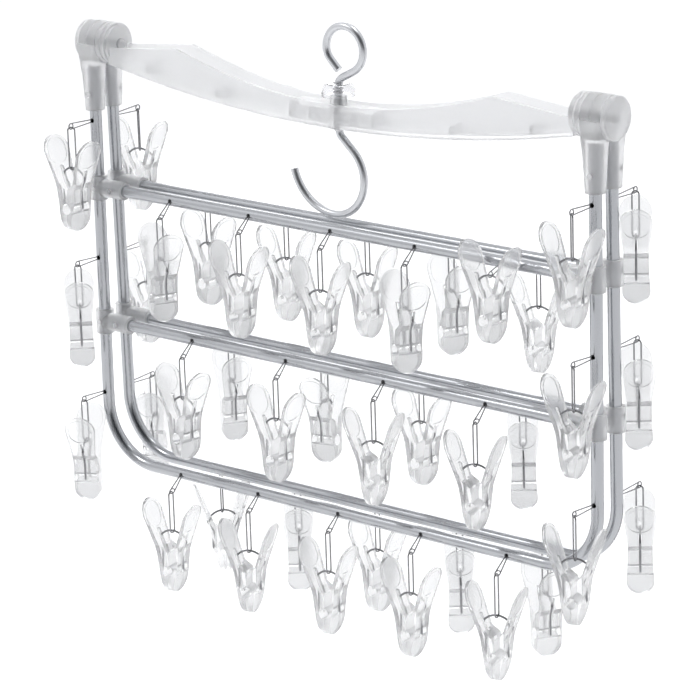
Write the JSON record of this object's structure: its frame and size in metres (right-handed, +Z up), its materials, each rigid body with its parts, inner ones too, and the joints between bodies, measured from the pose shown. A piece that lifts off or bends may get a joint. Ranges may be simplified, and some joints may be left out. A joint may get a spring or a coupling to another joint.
{
  "type": "folding clip drying hanger",
  "caption": "Folding clip drying hanger: two hinged tube frames hung from a yoke and hook wire, with rows of sprung clothes clips on wire links.",
  "frame": {"origin": "point inside the eye of the hook wire where a supporting hook bears, on the swivel axis", "axes": "+X along the fold hinge, +Z up along the hook shaft, -Y towards the front frame"},
  "size_m": [0.4516, 0.1082, 0.403],
  "materials": {
    "hook_wire_satin": "satin drawn wire",
    "steel_small": "bright small hardware",
    "clear_cap": "clear glossy",
    "frosted_plastic": "translucent natural, frosted",
    "aluminium_tube": "satin anodised",
    "clear_clip": "clear moulded",
    "spring_wire": "bright stainless wire"
  },
  "bodies": {
    "hook": {"hook_wire": "hook_wire_satin", "neck_crimps": "steel_small", "neck_cap": "clear_cap"},
    "yoke": {"yoke": "frosted_plastic", "axles": "steel_small", "end_caps": "frosted_plastic"},
    "front_frame": {"socket_front_left": "frosted_plastic", "socket_front_right": "frosted_plastic", "front_tube": "aluminium_tube", "front_upper_bar": "aluminium_tube", "front_lower_bar": "aluminium_tube", "front_upper_tees": "frosted_plastic", "front_lower_tees": "frosted_plastic", "front_screws": "steel_small", "front_side_pins": "spring_wire"},
    "front_upper_pin_row": {"front_upper_pins": "spring_wire"},
    "front_upper_clip_row": {"front_upper_links_and_springs": "spring_wire", "front_upper_jaws": "clear_clip"},
    "front_lower_pin_row": {"front_lower_pins": "spring_wire"},
    "front_lower_clip_row": {"front_lower_links_and_springs": "spring_wire", "front_lower_jaws": "clear_clip"},
    "front_bottom_pin_row": {"front_bottom_pins": "spring_wire"},
    "front_bottom_clip_row": {"front_bottom_links_and_springs": "spring_wire", "front_bottom_jaws": "clear_clip"},
    "front_side_top_clips": {"front_side_top_links_and_springs": "spring_wire", "front_side_top_jaws": "clear_clip"},
    "front_side_middle_clips": {"front_side_middle_links_and_springs": "spring_wire", "front_side_middle_jaws": "clear_clip"},
    "front_side_low_clips": {"front_side_low_links_and_springs": "spring_wire", "front_side_low_jaws": "clear_clip"},
    "back_frame": {"socket_back_left": "frosted_plastic", "socket_back_right": "frosted_plastic", "back_tube": "aluminium_tube", "back_upper_bar": "aluminium_tube", "back_lower_bar": "aluminium_tube", "back_upper_tees": "frosted_plastic", "back_lower_tees": "frosted_plastic", "back_screws": "steel_small", "back_side_pins": "spring_wire"},
    "back_upper_pin_row": {"back_upper_pins": "spring_wire"},
    "back_upper_clip_row": {"back_upper_links_and_springs": "spring_wire", "back_upper_jaws": "clear_clip"},
    "back_lower_pin_row": {"back_lower_pins": "spring_wire"},
    "back_lower_clip_row": {"back_lower_links_and_springs": "spring_wire", "back_lower_jaws": "clear_clip"},
    "back_bottom_pin_row": {"back_bottom_pins": "spring_wire"},
    "back_bottom_clip_row": {"back_bottom_links_and_springs": "spring_wire", "back_bottom_jaws": "clear_clip"},
    "back_side_top_clips": {"back_side_top_links_and_springs": "spring_wire", "back_side_top_jaws": "clear_clip"},
    "back_side_middle_clips": {"back_side_middle_links_and_springs": "spring_wire", "back_side_middle_jaws": "clear_clip"},
    "back_side_low_clips": {"back_side_low_links_and_springs": "spring_wire", "back_side_low_jaws": "clear_clip"},
    "open_clip_body": {"open_clip_link": "spring_wire", "open_clip_spring": "spring_wire", "open_clip_jaw_right": "clear_clip"},
    "open_clip_lever": {"open_clip_jaw_left": "clear_clip"},
    "raised_clip": {"raised_clip_spring": "spring_wire", "raised_clip_jaws": "clear_clip"}
  },
  "joints": [
    {"name": "yoke_swivel", "type": "hinge", "parent": "hook", "child": "yoke", "pos_m": [0, 0, -0.0288], "axis": [0, 0, 1], "continuous": true},
    {"name": "front_frame_fold", "type": "hinge", "parent": "yoke", "child": "front_frame", "pos_m": [0, 0, -0.0288], "axis": [-1, 0, 0], "range_deg": [0, 89.5]},
    {"name": "front_upper_pins_rise", "type": "hinge", "parent": "front_frame", "child": "front_upper_pin_row", "pos_m": [0, -0.01246, -0.12699], "axis": [-1, 0, 0], "range_deg": [0, 35]},
    {"name": "front_upper_clips_swing", "type": "hinge", "parent": "front_upper_pin_row", "child": "front_upper_clip_row", "pos_m": [0, -0.02362, -0.13687], "axis": [-1, 0, 0], "range_deg": [0, 55]},
    {"name": "front_lower_pins_rise", "type": "hinge", "parent": "front_frame", "child": "front_lower_pin_row", "pos_m": [0, -0.01327, -0.22019], "axis": [-1, 0, 0], "range_deg": [0, 35]},
    {"name": "front_lower_clips_swing", "type": "hinge", "parent": "front_lower_pin_row", "child": "front_lower_clip_row", "pos_m": [0, -0.02443, -0.23006], "axis": [-1, 0, 0], "range_deg": [0, 55]},
    {"name": "front_bottom_pins_rise", "type": "hinge", "parent": "front_frame", "child": "front_bottom_pin_row", "pos_m": [0, -0.01412, -0.31699], "axis": [-1, 0, 0], "range_deg": [0, 35]},
    {"name": "front_bottom_clips_swing", "type": "hinge", "parent": "front_bottom_pin_row", "child": "front_bottom_clip_row", "pos_m": [0, -0.02527, -0.32686], "axis": [-1, 0, 0], "range_deg": [0, 55]},
    {"name": "front_side_top_clips_swing", "type": "hinge", "parent": "front_frame", "child": "front_side_top_clips", "pos_m": [0, -0.03245, -0.08072], "axis": [-1, 0, 0], "range_deg": [0, 45]},
    {"name": "front_side_middle_clips_swing", "type": "hinge", "parent": "front_frame", "child": "front_side_middle_clips", "pos_m": [0, -0.03328, -0.17531], "axis": [-1, 0, 0], "range_deg": [0, 45]},
    {"name": "front_side_low_clips_swing", "type": "hinge", "parent": "front_frame", "child": "front_side_low_clips", "pos_m": [0, -0.03411, -0.27001], "axis": [-1, 0, 0], "range_deg": [0, 45]},
    {"name": "back_frame_fold", "type": "hinge", "parent": "yoke", "child": "back_frame", "pos_m": [0, 0, -0.0288], "axis": [1, 0, 0], "range_deg": [0, 89.5]},
    {"name": "back_upper_pins_rise", "type": "hinge", "parent": "back_frame", "child": "back_upper_pin_row", "pos_m": [0, 0.01246, -0.12699], "axis": [1, 0, 0], "range_deg": [0, 35]},
    {"name": "back_upper_clips_swing", "type": "hinge", "parent": "back_upper_pin_row", "child": "back_upper_clip_row", "pos_m": [0, 0.02362, -0.13687], "axis": [1, 0, 0], "range_deg": [0, 55]},
    {"name": "back_lower_pins_rise", "type": "hinge", "parent": "back_frame", "child": "back_lower_pin_row", "pos_m": [0, 0.01327, -0.22019], "axis": [1, 0, 0], "range_deg": [0, 35]},
    {"name": "back_lower_clips_swing", "type": "hinge", "parent": "back_lower_pin_row", "child": "back_lower_clip_row", "pos_m": [0, 0.02443, -0.23006], "axis": [1, 0, 0], "range_deg": [0, 55]},
    {"name": "back_bottom_pins_rise", "type": "hinge", "parent": "back_frame", "child": "back_bottom_pin_row", "pos_m": [0, 0.01412, -0.31699], "axis": [1, 0, 0], "range_deg": [0, 35]},
    {"name": "back_bottom_clips_swing", "type": "hinge", "parent": "back_bottom_pin_row", "child": "back_bottom_clip_row", "pos_m": [0, 0.02527, -0.32686], "axis": [1, 0, 0], "range_deg": [0, 55]},
    {"name": "back_side_top_clips_swing", "type": "hinge", "parent": "back_frame", "child": "back_side_top_clips", "pos_m": [0, 0.03245, -0.08072], "axis": [1, 0, 0], "range_deg": [0, 45]},
    {"name": "back_side_middle_clips_swing", "type": "hinge", "parent": "back_frame", "child": "back_side_middle_clips", "pos_m": [0, 0.03328, -0.17531], "axis": [1, 0, 0], "range_deg": [0, 45]},
    {"name": "back_side_low_clips_swing", "type": "hinge", "parent": "back_frame", "child": "back_side_low_clips", "pos_m": [0, 0.03411, -0.27001], "axis": [1, 0, 0], "range_deg": [0, 45]},
    {"name": "open_clip_swing", "type": "hinge", "parent": "front_frame", "child": "open_clip_body", "pos_m": [0.206, -0.03328, -0.17531], "axis": [-1, 0, 0], "range_deg": [0, 45]},
    {"name": "open_clip_jaws", "type": "hinge", "parent": "open_clip_body", "child": "open_clip_lever", "pos_m": [0.206, -0.03328, -0.22157], "axis": [-0.1564, 0.9877, 0], "range_deg": [0, 16], "stiffness_Nm_per_rad": 0.3, "springref_deg": -20.05, "deforming": ["open_clip_spring"]},
    {"name": "raised_clip_swing", "type": "hinge", "parent": "front_upper_pin_row", "child": "raised_clip", "pos_m": [0.138, -0.02473, -0.13323], "axis": [-1, 0, 0], "range_deg": [0, 6]}
  ]
}
